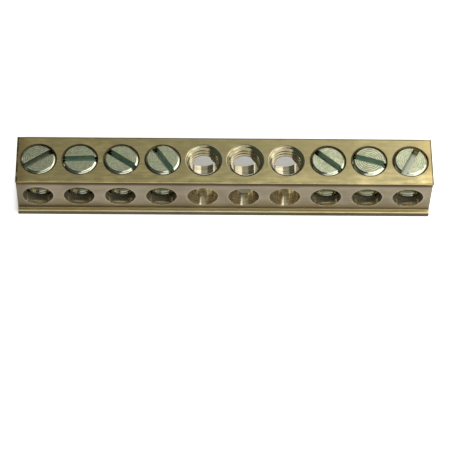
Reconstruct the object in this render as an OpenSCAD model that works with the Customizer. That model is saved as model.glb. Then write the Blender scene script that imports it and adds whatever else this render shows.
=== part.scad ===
// Neutral terminal bar: an extruded brass bar with a row of tapped terminals.
// Each terminal is a wire hole through the bar with a clamping screw above it.
// X runs along the bar, -Y is its front, and Z = 0 is the face it is mounted on.

/* [Bar] */
// Distance between neighbouring terminals
terminal_pitch = 9.525; // [9:0.025:14]
// Number of terminals along the bar
terminal_count = 10; // [10:1:14]
// Distance from the last terminal's centre to the sawn end
end_margin = 5.1; // [4.6:0.05:12]
// Height of the bar
bar_height = 13.6; // [12:0.1:18]
// Width across the two lips along the top
lip_width = 12.4; // [11.6:0.1:16]
// Thickness of each lip
lip_height = 0.55; // [0.4:0.05:1.2]
// Width of the web between the lips and the foot
web_width = 10.86; // [9.6:0.02:11.4]
// How far the foot stands out past the lips on each side
foot_margin = 0.25; // [-0.2:0.05:2.8]
// Thickness of the foot at its edges
foot_height = 1.7; // [1:0.1:2.2]
// Radius of the bar's outer edges
edge_radius = 0.25; // [0.1:0.05:0.35]
// Radius of the inner corners beside the web
corner_radius = 0.3; // [0.1:0.05:0.5]

/* [Wire holes] */
// Diameter of the wire holes
wire_hole_d = 7.06; // [5:0.02:8]
// Depth of the wire holes' axes below the top face
wire_hole_depth = 6.94; // [5.6:0.02:8]

/* [Tapped holes] */
// Outer diameter of the screws' thread
thread_d = 7.9375; // [6:0.0125:8.2]
// Chamfer at the mouth of each tapped hole
mouth_chamfer = 0.33; // [0.1:0.01:0.4]
// Height of each tapped hole's end above the floor of its wire hole
tapped_end_height = 0.63; // [0.3:0.01:1.5]

/* [Terminal screws] */
// Height of the deepest-set screws over the top face
screw_rise = 0.3; // [0:0.05:1]
// Difference in height between neighbouring settings of the screws
step_height = 0.05; // [0:0.01:0.1]
// Gap between a screw and the thread around it
thread_clearance = 0.05; // [0.03:0.01:0.1]
// Gap under the tip of a screw that is run in flush with the top face
tip_gap = 0.315; // [0.1:0.005:2]
// Chamfer around the top of each screw
head_chamfer = 0.35; // [0.1:0.05:0.8]
// Chamfer around the tip of each screw
tip_chamfer = 0.45; // [0.1:0.05:1]
// Width of the screwdriver slot
slot_width = 1.45; // [1:0.05:2]
// Depth of the screwdriver slot
slot_depth = 1.98; // [1:0.02:3]

/* [Mounting hole] */
// Outer diameter of the thread in the mounting hole
mounting_d = 4.826; // [3:0.002:6]
// Chamfer at the mounting hole's mouth in the bottom face
mounting_chamfer = 0.3; // [0.1:0.05:0.6]
// Empty terminal that the mounting hole lies under
mounting_terminal_number = 6; // [5:1:7]

/* [Hidden] */
$fn = 96;

// Each fitted screw: its terminal, its slot's turn from the bar, the steps it is backed out by
FITTED_SCREWS = [
    [1, 34, 0],
    [2, 2, 1],
    [3, -35, 2],
    [4, -56, 3],
    [8, -41, 0],
    [9, -17, 2],
    [10, 63, 0]
];

// How far a cut runs past the face it opens
cut_margin = 1;

bar_length = (terminal_count - 1) * terminal_pitch + 2 * end_margin;
foot_width = lip_width + 2 * foot_margin;
wire_hole_z = bar_height - wire_hole_depth;
wire_floor_z = wire_hole_z - wire_hole_d / 2;
tapped_end_z = wire_floor_z + tapped_end_height;
screw_d = thread_d - 2 * thread_clearance;
screw_length = bar_height - tapped_end_z - tip_gap;

// Place of a terminal along the bar, counted from 1 at the left end
function terminal_x(number) = (number - (terminal_count + 1) / 2) * terminal_pitch;

// What fills a right-angled corner at the origin down to an arc of the given radius
module corner_fill(radius) {
    difference() {
        square(radius);
        translate([radius, radius])
            circle(radius);
    }
}

// Right half of the extruded section: the foot, the web and the lip
module half_section() {
    lip_bottom = bar_height - lip_height;
    difference() {
        union() {
            square([web_width / 2, bar_height]);
            square([foot_width / 2, foot_height]);
            translate([0, lip_bottom])
                square([lip_width / 2, lip_height]);
            translate([web_width / 2, foot_height])
                corner_fill(corner_radius);
            translate([web_width / 2, lip_bottom])
                mirror([0, 1])
                    corner_fill(corner_radius);
        }
        translate([lip_width / 2, bar_height])
            rotate(180)
                corner_fill(edge_radius);
        translate([foot_width / 2, foot_height])
            rotate(180)
                corner_fill(edge_radius);
        translate([foot_width / 2, 0])
            mirror([1, 0])
                corner_fill(edge_radius);
    }
}

// The extruded length, sawn off square at both ends
module extrusion() {
    translate([-bar_length / 2, 0, 0])
        rotate([90, 0, 90])
            linear_extrude(bar_length) {
                half_section();
                mirror([1, 0])
                    half_section();
            }
}

// Cut that leaves a chamfer of the given size around the mouth of a hole, opening upwards
module mouth_cut(diameter, chamfer) {
    translate([0, 0, -chamfer])
        cylinder(
            h = chamfer + cut_margin,
            d1 = diameter,
            d2 = diameter + 2 * (chamfer + cut_margin)
        );
}

// Blind hole for a clamping screw, from the top face into the wire hole
module tapped_hole() {
    translate([0, 0, tapped_end_z])
        cylinder(h = bar_height - tapped_end_z + cut_margin, d = thread_d);
    translate([0, 0, bar_height])
        mouth_cut(thread_d, mouth_chamfer);
}

// Hole for a wire, right through the bar from front to back
module wire_hole() {
    through = max(foot_width, lip_width) + 2 * cut_margin;
    translate([0, through / 2, wire_hole_z])
        rotate([90, 0, 0])
            cylinder(h = through, d = wire_hole_d);
}

// Tapped hole from the bottom face up into a wire hole
module mounting_hole() {
    translate([0, 0, -cut_margin])
        cylinder(h = wire_hole_z + cut_margin, d = mounting_d);
    mirror([0, 0, 1])
        mouth_cut(mounting_d, mounting_chamfer);
}

module terminal_bar() {
    color([0.66, 0.58, 0.36])
        difference() {
            extrusion();
            for (number = [1 : terminal_count])
                translate([terminal_x(number), 0, 0]) {
                    tapped_hole();
                    wire_hole();
                }
            translate([terminal_x(mounting_terminal_number), 0, 0])
                mounting_hole();
        }
}

// Headless slotted screw standing on its tip at the origin
module slotted_screw() {
    radius = screw_d / 2;
    difference() {
        rotate_extrude()
            polygon([
                [0, 0],
                [radius - tip_chamfer, 0],
                [radius, tip_chamfer],
                [radius, screw_length - head_chamfer],
                [radius - head_chamfer, screw_length],
                [0, screw_length]
            ]);
        translate([-screw_d, -slot_width / 2, screw_length - slot_depth])
            cube([2 * screw_d, slot_width, slot_depth + cut_margin]);
    }
}

// One fitted screw in its terminal
module terminal_screw(number, slot_turn, steps_out) {
    tip_z = bar_height + screw_rise + steps_out * step_height - screw_length;
    color([0.66, 0.68, 0.64])
        translate([terminal_x(number), 0, tip_z])
            rotate(slot_turn)
                slotted_screw();
}

terminal_bar();
for (screw = FITTED_SCREWS)
    terminal_screw(screw[0], screw[1], screw[2]);
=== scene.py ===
# Neutral terminal bar: a drawn brass bar with ten tapped terminals, seven of them with their screws in.
# X runs along the bar, -Y is its front, and Z = 0 is the face that it is mounted on.
import math

import bmesh
import bpy
from mathutils import Matrix, Vector


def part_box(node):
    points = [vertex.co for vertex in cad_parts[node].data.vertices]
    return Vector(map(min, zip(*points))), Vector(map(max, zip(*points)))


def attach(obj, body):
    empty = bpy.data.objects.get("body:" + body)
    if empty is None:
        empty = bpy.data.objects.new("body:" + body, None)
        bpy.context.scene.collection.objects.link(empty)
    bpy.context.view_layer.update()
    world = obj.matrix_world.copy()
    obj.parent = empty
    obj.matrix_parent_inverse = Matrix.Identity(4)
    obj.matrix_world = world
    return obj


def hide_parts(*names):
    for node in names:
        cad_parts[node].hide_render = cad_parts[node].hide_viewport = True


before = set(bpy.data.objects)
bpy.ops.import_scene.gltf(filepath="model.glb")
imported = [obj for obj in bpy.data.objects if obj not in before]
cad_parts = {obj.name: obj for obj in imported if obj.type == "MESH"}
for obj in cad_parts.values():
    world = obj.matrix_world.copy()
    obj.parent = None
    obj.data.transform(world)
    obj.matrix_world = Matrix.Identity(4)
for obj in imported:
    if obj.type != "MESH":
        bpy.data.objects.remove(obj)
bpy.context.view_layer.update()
scene = bpy.context.scene


# Camera: a long lens half a metre away, in front of the bar and looking steeply down on it.
# It stands a little to the left, and it is turned about its own axis, so the bar's right end lies lower.
MM = 0.001
SENSOR_WIDTH = 36.0
lens_length = 175.2
nearest_seen = 10 * MM
camera_distance = 504.5 * MM
camera_elevation = math.radians(57.81)
camera_swing = math.radians(-2.18)
camera_roll = math.radians(2.205)
aim_point = Vector((0.15, -12.57, 5.55)) * MM

camera = bpy.data.objects.new("camera", bpy.data.cameras.new("camera"))
camera.data.sensor_width = SENSOR_WIDTH
camera.data.lens = lens_length
camera.data.clip_start = nearest_seen
camera.matrix_world = (
    Matrix.Translation(aim_point)
    @ Matrix.Rotation(camera_swing, 4, "Z")
    @ Matrix.Rotation(math.pi / 2 - camera_elevation, 4, "X")
    @ Matrix.Rotation(camera_roll, 4, "Z")
    @ Matrix.Translation((0, 0, camera_distance))
)
scene.collection.objects.link(camera)
scene.camera = camera
scene.view_settings.view_transform = "Standard"


# Studio: a white table that runs on as its own backdrop, in a dim room with six soft boxes.
# The brightest three stand on the bar's right, before, beside and behind it, so its left end stays dim.

# Sockets of the Mix node: its factor, its two colours, and the colour that comes out
MIX_FACTOR, MIX_FIRST_COLOUR, MIX_SECOND_COLOUR, MIX_COLOUR_RESULT = 0, 6, 7, 2


def add_node(tree, kind, inputs=None, **settings):
    """Add a shader node. An input given as a socket is linked, and any other value is set on its socket."""
    node = tree.nodes.new(kind)
    for name, value in settings.items():
        setattr(node, name, value)
    for key, value in (inputs or {}).items():
        if isinstance(value, bpy.types.NodeSocket):
            tree.links.new(value, node.inputs[key])
        else:
            node.inputs[key].default_value = value
    return node


def math_node(tree, operation, *values):
    """Add a Math node and return its result."""
    return add_node(tree, "ShaderNodeMath", dict(enumerate(values)), operation=operation).outputs[0]


def ease(tree, value, start, end):
    """A smooth step from 0 where the value is at start to 1 where it is at end."""
    sockets = {"Value": value, "From Min": start, "From Max": end}
    return add_node(tree, "ShaderNodeMapRange", sockets, interpolation_type="SMOOTHSTEP").outputs[0]


def mix_colour(tree, factor, first, second):
    """Mix two colours, each given as red, green and blue or as a socket."""
    sockets = {MIX_FACTOR: factor}
    for index, value in ((MIX_FIRST_COLOUR, first), (MIX_SECOND_COLOUR, second)):
        sockets[index] = value if isinstance(value, bpy.types.NodeSocket) else (*value, 1)
    return add_node(tree, "ShaderNodeMix", sockets, data_type="RGBA").outputs[MIX_COLOUR_RESULT]


def place_on_object(tree):
    """The point being shaded, as a vector and as its three distances along the object's axes."""
    point = add_node(tree, "ShaderNodeTexCoord").outputs["Object"]
    return point, add_node(tree, "ShaderNodeSeparateXYZ", {0: point}).outputs


def from_axis(tree, first, second):
    """Distance from an axis, given the distances from it in two directions."""
    squares = [math_node(tree, "MULTIPLY", side, side) for side in (first, second)]
    return math_node(tree, "SQRT", math_node(tree, "ADD", *squares))


def new_material(name):
    """Start a material with an empty node tree."""
    material = bpy.data.materials.new(name)
    material.use_nodes = True
    material.node_tree.nodes.clear()
    return material


def new_object(name, mesh, materials=()):
    """Keep a bmesh as an object at the origin, with its materials in order."""
    data = bpy.data.meshes.new(name)
    mesh.to_mesh(data)
    mesh.free()
    for material in materials:
        data.materials.append(material)
    obj = bpy.data.objects.new(name, data)
    scene.collection.objects.link(obj)
    return obj


floor_half = 3.0
floor_drop = 0.02 * MM
paper_white = (0.9, 0.9, 0.9)
glow_white = (0.86, 0.86, 0.86)
glow_shaded = (0.05, 0.04, 0.01)
glow_through = (0.11, 0.10, 0.07)
room_grey = (0.058, 0.074, 0.072, 1)
# Where the bar's shade sets in on the table: at its front, behind it and at both of its ends
shade_front = (-6.4 * MM, -5 * MM)
shade_behind = (17 * MM, 13.5 * MM)
shade_ends = (50 * MM, 46 * MM)
# The bar's mounting hole: its place along the bar, and the distances at which light through it sets in
mounting_x = 4.76 * MM
mounting_light = (3.2 * MM, 2.4 * MM)

floor_finish = new_material("white_table")
tree = floor_finish.node_tree
_, (x, y, _) = place_on_object(tree)
shade = math_node(tree, "MULTIPLY", ease(tree, y, *shade_front), ease(tree, y, *shade_behind))
shade = math_node(tree, "MULTIPLY", shade, ease(tree, math_node(tree, "ABSOLUTE", x), *shade_ends))
glow_colour = mix_colour(tree, shade, glow_white, glow_shaded)
from_mounting = from_axis(tree, math_node(tree, "SUBTRACT", x, mounting_x), y)
glow_colour = mix_colour(tree, ease(tree, from_mounting, *mounting_light), glow_colour, glow_through)
ray = add_node(tree, "ShaderNodeLightPath")
seen = math_node(tree, "MAXIMUM", ray.outputs["Is Camera Ray"], ray.outputs["Is Glossy Ray"])
seen = math_node(tree, "MAXIMUM", seen, ray.outputs["Is Transmission Ray"])
paper = add_node(tree, "ShaderNodeBsdfDiffuse", {"Color": (*paper_white, 1)})
glow = add_node(tree, "ShaderNodeEmission", {"Color": glow_colour, "Strength": seen})
lit = add_node(tree, "ShaderNodeAddShader", {0: paper.outputs[0], 1: glow.outputs[0]})
add_node(tree, "ShaderNodeOutputMaterial", {"Surface": lit.outputs[0]})

mesh = bmesh.new()
bmesh.ops.create_grid(mesh, x_segments=1, y_segments=1, size=floor_half)
bmesh.ops.translate(mesh, vec=(0, 0, -floor_drop), verts=mesh.verts)
new_object("studio_floor", mesh, [floor_finish])

world = bpy.data.worlds.new("room")
scene.world = world
world.use_nodes = True
world.node_tree.nodes["Background"].inputs["Color"].default_value = room_grey


def soft_box(name, place, target, width, height, brightness):
    """Hang a rectangular soft light, with its sizes in millimetres, to face a target.

    Its power follows its size, so that it looks as bright as the brightness given.
    """
    lamp = bpy.data.lights.new(name, "AREA")
    lamp.shape = "RECTANGLE"
    lamp.size = width * MM
    lamp.size_y = height * MM
    lamp.energy = brightness * math.pi * lamp.size * lamp.size_y
    obj = bpy.data.objects.new(name, lamp)
    obj.location = Vector(place) * MM
    obj.rotation_euler = (Vector(target) - Vector(place)).to_track_quat("-Z", "Y").to_euler()
    scene.collection.objects.link(obj)


soft_box("back_box", (206, 139, 220), target=(206, 0, 0), width=340, height=260, brightness=1.3)
soft_box("ceiling", (0, 300, 480), target=(0, 0, 10), width=700, height=500, brightness=0.33)
soft_box("front_box", (140, -190, 140), target=(0, 0, 8), width=300, height=140, brightness=1.5)
soft_box("right_box", (260, -60, 230), target=(0, 0, 8), width=400, height=300, brightness=1.4)
soft_box("fill_box", (40, -230, 420), target=(0, 0, 8), width=300, height=260, brightness=1.0)
soft_box("low_box", (420, 260, 50), target=(0, 0, 10), width=500, height=110, brightness=0.9)


# Terminal bar: one length of drawn brass, sawn off at both ends, with a lip along each top edge and a
# foot along each bottom edge. Ten wire holes are drilled through it from front to back, and a hole is
# tapped down into each from the top. A smaller tapped hole under terminal 6 fixes the bar to its panel.
TERMINALS = range(1, 11)
EMPTY_TERMINALS = (5, 6, 7)
SCREWED_TERMINALS = (1, 2, 3, 4, 8, 9, 10)
MOUNTING_TERMINAL = 6
INCH = 25.4 * MM

bar_low, bar_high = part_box("terminal_bar")
bar_top = bar_high.z
foot_half = bar_high.y
foot_top = 1.7 * MM
web_half = 5.43 * MM
lip_half = 6.2 * MM
lip_height = 0.55 * MM
lip_under = bar_top - lip_height
edge_radius = 0.25 * MM
corner_radius = 0.3 * MM
saw_burr = 0.06 * MM
wire_radius = 3.53 * MM
wire_depth = 7.12 * MM
wire_z = bar_top - wire_depth
wire_drift = -0.25 * MM
wire_mouth = 0.02 * MM
thread_radius = 3.96875 * MM
thread_pitch = INCH / 24
tapped_inner = 3.40 * MM
tapped_depth = 9.84 * MM
tapped_end_z = bar_top - tapped_depth
mounting_radius = 2.413 * MM
mounting_inner = 2.02 * MM
mounting_pitch = INCH / 32
mouth_radii = {5: 4.37 * MM, 6: 4.50 * MM, 7: 4.33 * MM}
mouth_edge = 0.25 * MM
mouth_edge_depth = 0.08 * MM
screwed_mouth_radius = 4.26 * MM
tap_turn = math.radians(273)
cut_margin = 1 * MM
merge_gap = 0.0005 * MM
ROUND_STEPS = 96
THREAD_STEPS = 64
EDGE_STEPS = 6
BURR_STEPS = 2
FLAT_ANGLE = math.radians(30)
FLAT_WEIGHT = 100
UP = Vector((0, 0, 1))
SIDEWAYS = Vector((1, 0, 0))
FORWARD = Vector((0, -1, 0))


def middle_x(node):
    """Place of a node along the bar."""
    low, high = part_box(node)
    return (low.x + high.x) / 2


first_x = middle_x("terminal_screw_1")
terminal_pitch = middle_x("terminal_screw_2") - first_x
terminal_x = {number: first_x + (number - 1) * terminal_pitch for number in TERMINALS}


def paint(mesh, material_index):
    """Give all of a mesh's faces one material."""
    for face in mesh.faces:
        face.material_index = material_index


def spun_outline(mesh, points, **turn):
    """Join points of a mesh to an outline and turn it around the origin."""
    edges = [mesh.edges.new(pair) for pair in zip(points, points[1:])]
    bmesh.ops.spin(mesh, geom=points + edges, cent=(0, 0, 0), **turn)
    bmesh.ops.remove_doubles(mesh, verts=mesh.verts, dist=merge_gap)


def turned_solid(outline, axis, across, material_index):
    """Turn an outline of (radius, height) points into a closed solid around an axis through the origin."""
    mesh = bmesh.new()
    points = [mesh.verts.new(across * radius + axis * height) for radius, height in outline]
    spun_outline(mesh, points, axis=axis, angle=2 * math.pi, steps=ROUND_STEPS, use_merge=True)
    bmesh.ops.recalc_face_normals(mesh, faces=mesh.faces)
    paint(mesh, material_index)
    return mesh


def threaded_rod(outer, inner, pitch, low_z, high_z, material_index):
    """Wind one tooth of a right-hand 60 degree thread up the Z axis and cut it off flat at both ends."""
    half_angle = math.radians(30)
    flank = (outer - inner) * math.tan(half_angle)
    crest = pitch / 8
    root = pitch - 2 * flank - crest
    # Turns wound below the lower cut: the rod is whole there, and the cut misses the tooth's corners
    lead_in = 1.37
    start = low_z - lead_in * pitch
    turns = math.ceil((high_z - start) / pitch) + 1
    tooth = [
        (inner, 0),
        (inner, root),
        (outer, root + flank),
        (outer, root + flank + crest),
        (inner, pitch),
    ]
    mesh = bmesh.new()
    points = [mesh.verts.new((radius, 0, start + rise)) for radius, rise in tooth]
    spun_outline(
        mesh, points, axis=UP, dvec=UP * pitch / THREAD_STEPS,
        angle=2 * math.pi * turns, steps=THREAD_STEPS * turns
    )
    for height, outside in ((low_z, -UP), (high_z, UP)):
        whole = mesh.verts[:] + mesh.edges[:] + mesh.faces[:]
        bmesh.ops.bisect_plane(
            mesh, geom=whole, plane_co=UP * height, plane_no=outside, clear_outer=True
        )
    rims = [edge for edge in mesh.edges if edge.is_boundary]
    bmesh.ops.holes_fill(mesh, edges=rims, sides=0)
    bmesh.ops.recalc_face_normals(mesh, faces=mesh.faces)
    paint(mesh, material_index)
    return mesh


def extruded(mesh, outline_face, length):
    """Draw a face out along X and point the faces of the solid outwards."""
    grown = bmesh.ops.extrude_face_region(mesh, geom=[outline_face])["geom"]
    far_side = [item for item in grown if isinstance(item, bmesh.types.BMVert)]
    bmesh.ops.translate(mesh, vec=(length, 0, 0), verts=far_side)
    bmesh.ops.recalc_face_normals(mesh, faces=mesh.faces)


def set_out(joined, shape, terminals, height=0, drift=0):
    """Add a shape to a mesh at each of the given terminals, at a height over the bar's bottom face."""
    for number in terminals:
        held = bpy.data.meshes.new("held")
        shape.to_mesh(held)
        before = len(joined.verts)
        joined.from_mesh(held)
        joined.verts.ensure_lookup_table()
        place = (terminal_x[number] + drift, 0, height)
        bmesh.ops.translate(joined, vec=place, verts=joined.verts[before:])
        bpy.data.meshes.remove(held)
    return joined


def carve(piece, cutter, operation="DIFFERENCE"):
    """Cut a closed piece with closed shapes that may cross, or keep what they share. Drop the cutter."""
    cut = piece.modifiers.new("cut", "BOOLEAN")
    cut.operation = operation
    cut.solver = "EXACT"
    cut.material_mode = "INDEX"
    cut.use_self = True
    cut.object = cutter
    depsgraph = bpy.context.evaluated_depsgraph_get()
    shaped = bpy.data.meshes.new_from_object(piece.evaluated_get(depsgraph))
    piece.modifiers.clear()
    old = piece.data
    piece.data = shaped
    bpy.data.meshes.remove(old)
    bpy.data.objects.remove(cutter)


def smooth_curves(piece):
    """Shade round walls smooth, keep real edges sharp and flat faces flat."""
    piece.data.shade_smooth()
    piece.data.set_sharp_from_angle(angle=FLAT_ANGLE)
    weighted = piece.modifiers.new("flat_faces", "WEIGHTED_NORMAL")
    weighted.keep_sharp = True
    weighted.weight = FLAT_WEIGHT


def new_group(name, outputs):
    """Start a shader node group that gives the named values. Return it and a function that sets one."""
    group = bpy.data.node_groups.new(name, "ShaderNodeTree")
    for output in outputs:
        group.interface.new_socket(name=output, in_out="OUTPUT", socket_type="NodeSocketFloat")
    end = group.nodes.new("NodeGroupOutput")

    def give(output, socket):
        group.links.new(socket, end.inputs[output])

    return group, give


def use_group(tree, group):
    """Place a node group in a material and return its outputs by name."""
    return add_node(tree, "ShaderNodeGroup", node_tree=group).outputs


def noise(tree, point, lumps, detail, stretch=(1, 1, 1)):
    """Noise at a point, with this many lumps a metre, drawn out along the axes where stretch is small."""
    drawn = add_node(tree, "ShaderNodeMapping", {"Vector": point, "Scale": stretch}).outputs[0]
    sockets = {"Vector": drawn, "Scale": lumps, "Detail": detail}
    return add_node(tree, "ShaderNodeTexNoise", sockets).outputs[0]


# Wear that the bar's faces share: soft tarnish, a finer mottle, lines drawn along the bar, and small pits.
# Each has its lumps a metre, their detail and stretch, and the heights of noise between which it sets in
wear_kinds = {
    "Tarnish": (260, 5, (0.5, 1, 1), 0.36, 0.66),
    "Mottle": (900, 3, (0.4, 1, 1), 0.34, 0.68),
    "Lines": (2600, 3, (0.02, 1, 1), 0.28, 0.72),
    "Pits": (1900, 2, (1, 1, 1), 0.64, 0.74),
}
grain, give = new_group("drawn_grain", wear_kinds)
point, _ = place_on_object(grain)
for kind, (lumps, detail, stretch, start, end) in wear_kinds.items():
    give(kind, ease(grain, noise(grain, point, lumps, detail, stretch), start, end))

# Distances from the axes of the nearest tapped hole and the nearest wire hole, and the side of the tapped
# hole's axis that a point lies on, below 0 on the left and over 0 on the right
rings, give = new_group("terminal_rings", ("Tapped", "Wire", "Side"))
_, (x, y, z) = place_on_object(rings)


def along_from(start_x):
    """How far a point lies along the bar from the nearest of the row of axes that begins at start_x."""
    along = math_node(rings, "SUBTRACT", x, start_x)
    return math_node(rings, "WRAP", along, terminal_pitch / 2, -terminal_pitch / 2)


give("Tapped", from_axis(rings, along_from(first_x), y))
give("Wire", from_axis(rings, along_from(first_x + wire_drift), math_node(rings, "SUBTRACT", z, wire_z)))
give("Side", along_from(first_x))


def new_finish(name):
    """Start a brass finish: its material, its node tree, and the wear that the bar's faces share."""
    material = new_material(name)
    return material, material.node_tree, use_group(material.node_tree, grain)


def layered(tree, colour, layers):
    """Lay tones over a colour in turn, each given as where it lies, the tone, and how far it covers."""
    for mask, tone, cover in layers:
        if cover < 1:
            mask = math_node(tree, "MULTIPLY", mask, cover)
        colour = mix_colour(tree, mask, colour, tone)
    return colour


def metal_surface(tree, colour, roughness, height=None, depth=0, bareness=1.0, sheen=(1, 1, 1)):
    """Metal of a colour, bare or under a dull film, with bumps of a depth where a height is given.

    The sheen is the colour of what it mirrors where it is seen edge on.
    """
    inputs = {
        "Base Color": colour,
        "Metallic": bareness,
        "Roughness": roughness,
        "Specular Tint": (*sheen, 1),
    }
    if height is not None:
        bump = add_node(tree, "ShaderNodeBump", {"Height": height, "Strength": 1.0, "Distance": depth})
        inputs["Normal"] = bump.outputs[0]
    surface = add_node(tree, "ShaderNodeBsdfPrincipled", inputs)
    add_node(tree, "ShaderNodeOutputMaterial", {"Surface": surface.outputs[0]})


def scaled(tree, value, low, high):
    """Stretch a value between 0 and 1 to the range from low to high."""
    return add_node(tree, "ShaderNodeMapRange", {"Value": value, "To Min": low, "To Max": high}).outputs[0]


# The top and the lips: brass, painted brown towards the left end as painted shade and gold towards the
# right as painted light, for the lamps on the right.
# Each fade is the pair of places at which a tone sets in and is full
line_depth = 0.0035 * MM
left_shade_brass = (0.74, 0.59, 0.235)
bare_brass = (0.73, 0.63, 0.29)
right_light_gold = (0.98, 0.80, 0.40)
tarnished_brass = (0.47, 0.40, 0.205)
mottled_brass = (0.40, 0.335, 0.155)
back_darker_brass = (0.36, 0.31, 0.145)
line_brown = (0.36, 0.29, 0.14)
pit_brown = (0.25, 0.19, 0.09)
lip_face_shade_brown = (0.10, 0.07, 0.035)
back_edge_shade_brown = (0.085, 0.07, 0.035)
left_end_shade_brown = (0.30, 0.22, 0.085)
left_saw_brown = (0.07, 0.05, 0.03)
right_end_light_gold = (0.62, 0.45, 0.17)
right_saw_brown = (0.10, 0.075, 0.04)
left_shade_fade = (-48 * MM, 5 * MM)
right_light_fade = (10 * MM, 46 * MM)
back_darker_fade_across = (-5.5 * MM, -0.5 * MM)
back_darker_fade_along = (-45 * MM, 25 * MM)
lip_face_shade_fade = (bar_top - 0.22 * MM, bar_top - 0.34 * MM)
back_edge_shade_fade = (lip_half - 0.42 * MM, lip_half - 0.26 * MM)
left_end_shade_fade = (bar_low.x + 4 * MM, bar_low.x + 0.8 * MM)
left_saw_fade = (bar_low.x + 0.6 * MM, bar_low.x + 0.25 * MM)
right_end_light_fade = (bar_high.x - 2.5 * MM, bar_high.x - 0.6 * MM)
right_saw_fade = (bar_high.x - 0.4 * MM, bar_high.x - 0.15 * MM)
chip_lumps = 700
chip_range = (0.3, 0.55)
top_roughness = (0.33, 0.42)
top_sheen = (0.35, 0.3, 0.2)

top_finish, tree, wear = new_finish("top_brass")
point, (x, y, z) = place_on_object(tree)
# Darker towards the back of the top, more so towards the right
darker_back = math_node(tree, "MULTIPLY", ease(tree, y, *back_darker_fade_across), ease(tree, x, *back_darker_fade_along))
chips = ease(tree, noise(tree, point, chip_lumps, detail=1), *chip_range)
chipped_edge = math_node(tree, "MULTIPLY", ease(tree, x, *left_saw_fade), chips)
# Painted shade: brown towards the left end
colour = mix_colour(tree, ease(tree, x, *left_shade_fade), left_shade_brass, bare_brass)
colour = layered(tree, colour, (
    # Painted light: gold towards the right end
    (ease(tree, x, *right_light_fade), right_light_gold, 1),
    (wear["Tarnish"], tarnished_brass, 0.7),
    (wear["Mottle"], mottled_brass, 0.7),
    (darker_back, back_darker_brass, 0.78),
    (wear["Lines"], line_brown, 0.45),
    (wear["Pits"], pit_brown, 0.5),
    # Painted shade: the lip's front face dark, part of the dark line under the lip
    (ease(tree, z, *lip_face_shade_fade), lip_face_shade_brown, 1),
    # Painted shade: a dark line along the rounded back edge
    (ease(tree, y, *back_edge_shade_fade), back_edge_shade_brown, 1),
    # Painted shade: darker at the left end
    (ease(tree, x, *left_end_shade_fade), left_end_shade_brown, 0.75),
    (chipped_edge, left_saw_brown, 1),
    # Painted light: more gold at the right end
    (ease(tree, x, *right_end_light_fade), right_end_light_gold, 0.5),
    (ease(tree, x, *right_saw_fade), right_saw_brown, 1),
))
roughness = scaled(tree, wear["Tarnish"], *top_roughness)
metal_surface(tree, colour, roughness, wear["Lines"], line_depth, sheen=top_sheen)

# The web: pinkish grey, partly tarnish and partly painted shade that keeps it darker than the top for the
# shaded table that it mirrors, with grime and painted shade under the lip and over the foot, painted shade
# at the left end, and burnished around the wire holes
web_pink = (0.262, 0.218, 0.150)
web_grey = (0.214, 0.178, 0.115)
web_mottle = (0.19, 0.155, 0.105)
stain_brown = (0.22, 0.17, 0.085)
burnished_brass = (0.38, 0.325, 0.235)
web_line_brown = (0.20, 0.165, 0.11)
web_end_shade_brown = (0.13, 0.105, 0.065)
under_lip_grime_and_shade = (0.055, 0.038, 0.02)
over_foot_grime_and_shade = (0.17, 0.132, 0.066)
stain_lumps = 130
stain_range = (0.54, 0.68)
burnish_fade = (4.2 * MM, 3.75 * MM)
under_lip_grime_shade_fade = (bar_top - 3.0 * MM, bar_top - 2.1 * MM)
over_foot_grime_shade_fade = (foot_top + 0.9 * MM, foot_top + 0.3 * MM)
web_roughness = (0.38, 0.48)

web_finish, tree, wear = new_finish("web_brass")
point, (x, _, z) = place_on_object(tree)
# Partly painted shade: the web darker than the top, for the shaded table that it mirrors
colour = mix_colour(tree, wear["Tarnish"], web_pink, web_grey)
colour = layered(tree, colour, (
    (wear["Mottle"], web_mottle, 0.3),
    (ease(tree, noise(tree, point, stain_lumps, detail=4), *stain_range), stain_brown, 0.6),
    (ease(tree, use_group(tree, rings)["Wire"], *burnish_fade), burnished_brass, 0.25),
    (wear["Lines"], web_line_brown, 0.2),
    # Painted shade: darker at the left end
    (ease(tree, x, *left_end_shade_fade), web_end_shade_brown, 0.7),
    # Grime and painted shade under the lip
    (ease(tree, z, *under_lip_grime_shade_fade), under_lip_grime_and_shade, 1),
    # Grime and painted shade in the corner over the foot
    (ease(tree, z, *over_foot_grime_shade_fade), over_foot_grime_and_shade, 1),
))
metal_surface(tree, colour, scaled(tree, wear["Tarnish"], *web_roughness), wear["Lines"], line_depth)

# The foot: a ledge in a brighter gold than the top, partly painted light, with grime and painted shade in
# its corner by the web, over a front edge painted dark as painted shade for the shaded table that it
# mirrors
ledge_lit_gold = (0.97, 0.84, 0.47)
ledge_lit_tarnish = (0.88, 0.75, 0.40)
ledge_line_brown = (0.30, 0.24, 0.12)
corner_grime_and_shade = (0.12, 0.09, 0.045)
foot_face_shade_brown = (0.09, 0.074, 0.037)
corner_grime_shade_fade = (web_half + 0.13 * MM, web_half + 0.05 * MM)
foot_face_shade_fade = (foot_top - 0.14 * MM, foot_top - 0.26 * MM)
foot_roughness = (0.48, 0.58)

foot_finish, tree, wear = new_finish("foot_brass")
_, (_, y, z) = place_on_object(tree)
# Partly painted light: the ledge's gold brighter than the top's brass
colour = mix_colour(tree, wear["Tarnish"], ledge_lit_gold, ledge_lit_tarnish)
colour = layered(tree, colour, (
    (wear["Lines"], ledge_line_brown, 0.2),
    # Grime and painted shade in the corner by the web
    (ease(tree, math_node(tree, "ABSOLUTE", y), *corner_grime_shade_fade), corner_grime_and_shade, 1),
    # Painted shade: the front edge dark, for the shaded table that it mirrors
    (ease(tree, z, *foot_face_shade_fade), foot_face_shade_brown, 1),
))
metal_surface(tree, colour, scaled(tree, wear["Tarnish"], *foot_roughness), wear["Lines"], line_depth)

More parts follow.
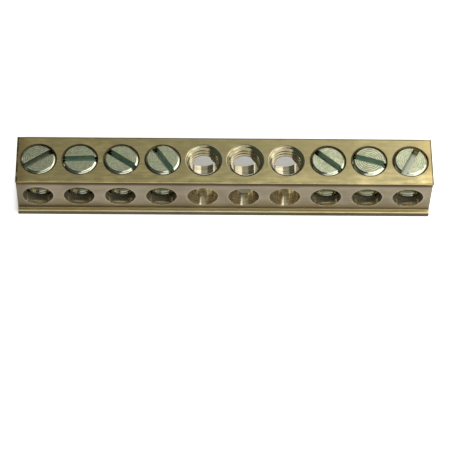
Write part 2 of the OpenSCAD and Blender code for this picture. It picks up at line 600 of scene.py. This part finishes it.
# The walls of the wire holes: rings that the drill left, one behind the other
drilled_bright = (0.76, 0.68, 0.46)
drilled_tarnish = (0.66, 0.58, 0.37)
drill_ring_brown = (0.52, 0.45, 0.29)
drill_ring_lumps = 2200
drill_ring_stretch = (0.06, 1, 0.06)
drill_ring_range = (0.4, 0.65)
drill_ring_depth = 0.0015 * MM
drilled_roughness = 0.13
drilled_bareness = 0.8

drilled_finish, tree, wear = new_finish("drilled_brass")
point, _ = place_on_object(tree)
drill_rings = noise(tree, point, drill_ring_lumps, detail=2, stretch=drill_ring_stretch)
colour = mix_colour(tree, wear["Tarnish"], drilled_bright, drilled_tarnish)
colour = mix_colour(tree, ease(tree, drill_rings, *drill_ring_range), colour, drill_ring_brown)
metal_surface(tree, colour, drilled_roughness, drill_rings, drill_ring_depth, drilled_bareness)

# The threads: cut brass, darker on the left of each hole, with painted light on the right side, which the
# lamps on the right leave in shade
thread_brass = (0.43, 0.375, 0.235)
thread_tarnish = (0.355, 0.31, 0.18)
thread_painted_light = (0.74, 0.62, 0.37)
painted_light_side_fade = (0.5 * MM, 3.2 * MM)
thread_roughness = 0.18

tapped_finish, tree, wear = new_finish("tapped_brass")
colour = mix_colour(tree, wear["Tarnish"], thread_brass, thread_tarnish)
# Painted light on the right side of each hole
painted_light_side = ease(tree, use_group(tree, rings)["Side"], *painted_light_side_fade)
metal_surface(tree, mix_colour(tree, painted_light_side, colour, thread_painted_light), thread_roughness)

# The mouths around the fitted screws: painted dark, as painted shade in the gap around each screw
seat_shade_brown = (0.12, 0.095, 0.05)
seat_shade_dark = (0.06, 0.045, 0.025)
seat_roughness = 0.5

seat_finish, tree, wear = new_finish("seat_shade_brass")
# Painted shade in the gap around each screw
metal_surface(tree, mix_colour(tree, wear["Tarnish"], seat_shade_brown, seat_shade_dark), seat_roughness)

# The ends: dull brass with the upright lines of the saw
sawn_brass = (0.50, 0.42, 0.21)
sawn_tarnish = (0.38, 0.31, 0.15)
saw_line_brown = (0.26, 0.21, 0.10)
saw_line_lumps = 2600
saw_line_stretch = (1, 1, 0.03)
saw_line_range = (0.35, 0.7)
saw_line_depth = 0.02 * MM
sawn_roughness = 0.42

sawn_finish, tree, wear = new_finish("sawn_brass")
point, _ = place_on_object(tree)
saw_lines = noise(tree, point, saw_line_lumps, detail=3, stretch=saw_line_stretch)
colour = mix_colour(tree, wear["Tarnish"], sawn_brass, sawn_tarnish)
colour = mix_colour(tree, ease(tree, saw_lines, *saw_line_range), colour, saw_line_brown)
metal_surface(tree, colour, sawn_roughness, saw_lines, saw_line_depth)

brass_finishes = [
    top_finish, web_finish, foot_finish, drilled_finish, tapped_finish, seat_finish, sawn_finish
]
TOP, WEB, FOOT, DRILLED, TAPPED, SEAT, SAWN = range(len(brass_finishes))

# The drawn section, with its edges and inner corners rounded, sawn off at both ends
half_section = [
    (foot_half, 0),
    (foot_half, foot_top),
    (web_half, foot_top),
    (web_half, lip_under),
    (lip_half, lip_under),
    (lip_half, bar_top),
]
section = half_section + [(-y, z) for y, z in reversed(half_section)]
mesh = bmesh.new()
end_face = mesh.faces.new([mesh.verts.new((bar_low.x, y, z)) for y, z in section])
extruded(mesh, end_face, bar_high.x - bar_low.x)


def long_edges(mesh, places):
    """Edges along the bar at the given places of its section, on both sides."""
    near = 0.05 * MM
    found = []
    for edge in mesh.edges:
        first, second = (corner.co for corner in edge.verts)
        # Only edges along the bar reach this far along X
        if abs(first.x - second.x) > bar_top:
            if any(abs(abs(first.y) - y) < near and abs(first.z - z) < near for y, z in places):
                found.append(edge)
    return found


def round_edges(mesh, edges, radius, steps):
    """Round edges of a mesh with an arc."""
    bmesh.ops.bevel(
        mesh, geom=edges, offset=radius, segments=steps, profile=0.5, affect="EDGES", material=-1
    )


for radius, places in (
    (edge_radius, [(foot_half, 0), (foot_half, foot_top), (lip_half, bar_top)]),
    (corner_radius, [(web_half, foot_top), (web_half, lip_under)]),
):
    round_edges(mesh, long_edges(mesh, places), radius, EDGE_STEPS)
end_facing = 0.9
web_inset = 0.1 * corner_radius
for face in mesh.faces:
    middle = face.calc_center_median()
    if abs(face.normal.x) > end_facing:
        face.material_index = SAWN
    elif middle.z > lip_under - web_inset:
        face.material_index = TOP
    elif middle.z > foot_top + web_inset:
        face.material_index = WEB
    else:
        face.material_index = FOOT
end_edges = [edge for edge in mesh.edges if any(face.material_index == SAWN for face in edge.link_faces)]
round_edges(mesh, end_edges, saw_burr, BURR_STEPS)
bar = new_object("drawn_bar", mesh, brass_finishes)

# The holes, all cut at once: the wire holes with their blunt mouths, the tapped holes with their
# countersinks, and the mounting hole
reach = foot_half + cut_margin
mouth_start = web_half - wire_mouth
mouth_reach = wire_radius + reach - mouth_start
wire_outline = [
    (0, -reach),
    (mouth_reach, -reach),
    (wire_radius, -mouth_start),
    (wire_radius, mouth_start),
    (mouth_reach, reach),
    (0, reach),
]
drill = turned_solid(wire_outline, FORWARD, UP, DRILLED)

tap_top = bar_top + cut_margin / 2
tap = threaded_rod(thread_radius, tapped_inner, thread_pitch, tapped_end_z, tap_top, TAPPED)
bmesh.ops.rotate(tap, cent=(0, 0, 0), matrix=Matrix.Rotation(tap_turn, 3, "Z"), verts=tap.verts)
plain_outline = [(0, tapped_end_z), (thread_radius, tapped_end_z), (thread_radius, tap_top), (0, tap_top)]
plain_tap = turned_solid(plain_outline, UP, SIDEWAYS, TAPPED)


def mouth_cone(radius, material_index):
    """Countersink with a blunted edge, which leaves a mouth of the given radius in the top face."""
    cone_radius = radius - mouth_edge
    cone_top = bar_top - mouth_edge_depth
    outline = [
        (0, cone_top - cone_radius),
        (cone_radius, cone_top),
        (radius + mouth_edge, bar_top + mouth_edge_depth),
        (radius + mouth_edge, bar_top + cut_margin),
        (0, bar_top + cut_margin),
    ]
    return turned_solid(outline, UP, SIDEWAYS, material_index)


mounting_tap = threaded_rod(mounting_radius, mounting_inner, mounting_pitch, -cut_margin, wire_z, TAPPED)

holes = bmesh.new()
set_out(holes, drill, TERMINALS, wire_z, wire_drift)
set_out(holes, tap, EMPTY_TERMINALS)
set_out(holes, plain_tap, SCREWED_TERMINALS)
set_out(holes, mouth_cone(screwed_mouth_radius, SEAT), SCREWED_TERMINALS)
for number, radius in mouth_radii.items():
    set_out(holes, mouth_cone(radius, TAPPED), [number])
set_out(holes, mounting_tap, [MOUNTING_TERMINAL])
carve(bar, new_object("holes", holes, brass_finishes))

smooth_curves(bar)
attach(bar, "bar")
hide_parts("terminal_bar")


# Terminal screws: seven headless slotted screws of zinc-plated steel, turned and threaded from bar.
# Each is run down into its terminal until its end stands just over the bar's top face.
thread_clearance = 0.05 * MM
screw_radius = thread_radius - thread_clearance
screw_inner = 3.34 * MM
tip_chamfer = 0.45 * MM
slot_half = 0.725 * MM
slot_depth = 1.98 * MM
slot_edge = 0.03 * MM
TURNED, SLOTTED = range(2)
# Each screw's terminal: its slot's turn from the bar in degrees, the chamfer around its top, and how
# strong the rings are that the lathe left on its face
screw_sets = {
    1: (34, 0.34 * MM, 0.6),
    2: (2, 0.42 * MM, 0.35),
    3: (-35, 0.42 * MM, 0.3),
    4: (-56, 0.40 * MM, 0.3),
    8: (-41, 0.42 * MM, 0.25),
    9: (-17, 0.58 * MM, 0.9),
    10: (63, 0.58 * MM, 0.5),
}

# The plate on the turned faces and the thread: pale and speckled, with a painted highlight on the chamfer,
# and painted shade on the part in the wire hole, darkest next to the hole's roof
zinc_pale = (0.655, 0.68, 0.445)
zinc_grey = (0.59, 0.605, 0.40)
speckle_grey = (0.31, 0.325, 0.20)
ring_grey = (0.20, 0.205, 0.12)
chamfer_highlight = (0.72, 0.73, 0.56)
tip_shade_pale = (0.36, 0.365, 0.265)
tip_shade_grey = (0.17, 0.175, 0.13)
roof_shadow_dark = (0.13, 0.135, 0.095)
zinc_mottle_lumps = 420
zinc_mottle_range = (0.36, 0.64)
speckle_lumps = 1700
speckle_range = (0.42, 0.62)
ring_pitch = 0.5 * MM
ring_wander = 4
ring_wander_lumps = 500
ring_range = (0.3, 0.9)
ring_cover = 0.9
ring_depth = 0.006 * MM
mid_wave = 0.5
chamfer_fade = 0.02 * MM
roof_shadow_fade = (bar_top - 7.5 * MM, bar_top - 6.8 * MM)
tip_shade_fade = (bar_top - 5.4 * MM, bar_top - 6.0 * MM)
face_roughness = (0.38, 0.46)
chamfer_roughness = 0.2
tip_roughness = 0.14

# Sockets of the Mix node for its two values
MIX_FIRST_VALUE, MIX_SECOND_VALUE = 2, 3


def mix_value(tree, factor, first, second):
    """Mix two values, each given as a number or as a socket."""
    sockets = {MIX_FACTOR: factor, MIX_FIRST_VALUE: first, MIX_SECOND_VALUE: second}
    return add_node(tree, "ShaderNodeMix", sockets, data_type="FLOAT").outputs[0]


def turned_zinc(number, chamfer, ring_strength):
    """Zinc plate over the lathe's rings, which run around the screw's axis, and smooth on its chamfer."""
    material = new_material(f"turned_zinc_{number}")
    tree = material.node_tree
    point, (_, _, z) = place_on_object(tree)
    distance = use_group(tree, rings)["Tapped"]
    wander = noise(tree, point, ring_wander_lumps, detail=2)
    wander = math_node(tree, "MULTIPLY", wander, ring_wander)
    turn = math_node(tree, "MULTIPLY_ADD", distance, 2 * math.pi / ring_pitch, wander)
    wave = math_node(tree, "MULTIPLY_ADD", math_node(tree, "SINE", turn), mid_wave, mid_wave)
    mottle = ease(tree, noise(tree, point, zinc_mottle_lumps, detail=4), *zinc_mottle_range)
    speckle = ease(tree, noise(tree, point, speckle_lumps, detail=2), *speckle_range)
    chamfer_start = screw_radius - chamfer
    on_chamfer = ease(tree, distance, chamfer_start - chamfer_fade, chamfer_start + chamfer_fade)
    near_tip = ease(tree, z, *tip_shade_fade)
    # Painted shade on the part of the screw in the wire hole, darkest next to the hole's roof
    tip_shade_colour = mix_colour(tree, wave, tip_shade_pale, tip_shade_grey)
    tip_shade_colour = mix_colour(tree, ease(tree, z, *roof_shadow_fade), tip_shade_colour, roof_shadow_dark)
    colour = layered(tree, mix_colour(tree, mottle, zinc_pale, zinc_grey), (
        (speckle, speckle_grey, 0.45),
        (ease(tree, wave, *ring_range), ring_grey, ring_cover * ring_strength),
        # Painted highlight on the chamfer
        (on_chamfer, chamfer_highlight, 1),
        # Painted shade in the wire hole
        (near_tip, tip_shade_colour, 1),
    ))
    roughness = mix_value(tree, on_chamfer, scaled(tree, mottle, *face_roughness), chamfer_roughness)
    roughness = mix_value(tree, near_tip, roughness, tip_roughness)
    ridges = mix_value(tree, on_chamfer, wave, mid_wave)
    metal_surface(tree, colour, roughness, ridges, ring_depth * ring_strength)
    return material


# The slots: plate over the saw's cut, greenish, and greyer in the two end screws as painted light on their
# lit slots
slot_green = (0.40, 0.51, 0.435)
slot_pale = (0.50, 0.58, 0.475)
slot_lit_grey = (0.41, 0.425, 0.34)
slot_lumps = 700
slot_range = (0.35, 0.65)
slot_roughness = 0.36
end_start = terminal_x[TERMINALS[-1]] - terminal_pitch / 2
end_fade = (end_start - 0.1 * terminal_pitch, end_start)

slot_finish = new_material("slotted_zinc")
tree = slot_finish.node_tree
point, (x, _, _) = place_on_object(tree)
patches = ease(tree, noise(tree, point, slot_lumps, detail=3), *slot_range)
colour = mix_colour(tree, patches, slot_green, slot_pale)
# Painted light: the end screws' slots greyer, as lit
end_slots_lit = ease(tree, math_node(tree, "ABSOLUTE", x), *end_fade)
metal_surface(tree, mix_colour(tree, end_slots_lit, colour, slot_lit_grey), slot_roughness)

for number, (slot_turn, chamfer, ring_strength) in screw_sets.items():
    node = f"terminal_screw_{number}"
    screw_low, screw_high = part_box(node)
    zinc_finishes = [turned_zinc(number, chamfer, ring_strength), slot_finish]
    rod_low = screw_low.z - cut_margin
    rod_high = screw_high.z + cut_margin
    rod = threaded_rod(screw_radius, screw_inner, thread_pitch, rod_low, rod_high, TURNED)
    blank_outline = [
        (0, screw_low.z),
        (screw_radius - tip_chamfer, screw_low.z),
        (screw_radius, screw_low.z + tip_chamfer),
        (screw_radius, screw_high.z - chamfer),
        (screw_radius - chamfer, screw_high.z),
        (0, screw_high.z),
    ]
    blank = turned_solid(blank_outline, UP, SIDEWAYS, TURNED)

    slot_floor = screw_high.z - slot_depth
    flare = slot_half + slot_edge + cut_margin
    kerf = [
        (-slot_half, slot_floor),
        (slot_half, slot_floor),
        (slot_half, screw_high.z - slot_edge),
        (flare, screw_high.z + cut_margin),
        (-flare, screw_high.z + cut_margin),
        (-slot_half, screw_high.z - slot_edge),
    ]
    saw = bmesh.new()
    kerf_face = saw.faces.new([saw.verts.new((-2 * screw_radius, y, z)) for y, z in kerf])
    extruded(saw, kerf_face, 4 * screw_radius)
    slot_matrix = Matrix.Rotation(math.radians(slot_turn), 3, "Z")
    bmesh.ops.rotate(saw, cent=(0, 0, 0), matrix=slot_matrix, verts=saw.verts)
    paint(saw, SLOTTED)

    screw = new_object(f"slotted_screw_{number}", set_out(bmesh.new(), blank, [number]), zinc_finishes)
    carve(screw, new_object("saw", set_out(bmesh.new(), saw, [number]), zinc_finishes))
    carve(screw, new_object("rod", set_out(bmesh.new(), rod, [number]), zinc_finishes), "INTERSECT")
    smooth_curves(screw)
    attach(screw, f"screw_{number}")
    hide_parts(node)
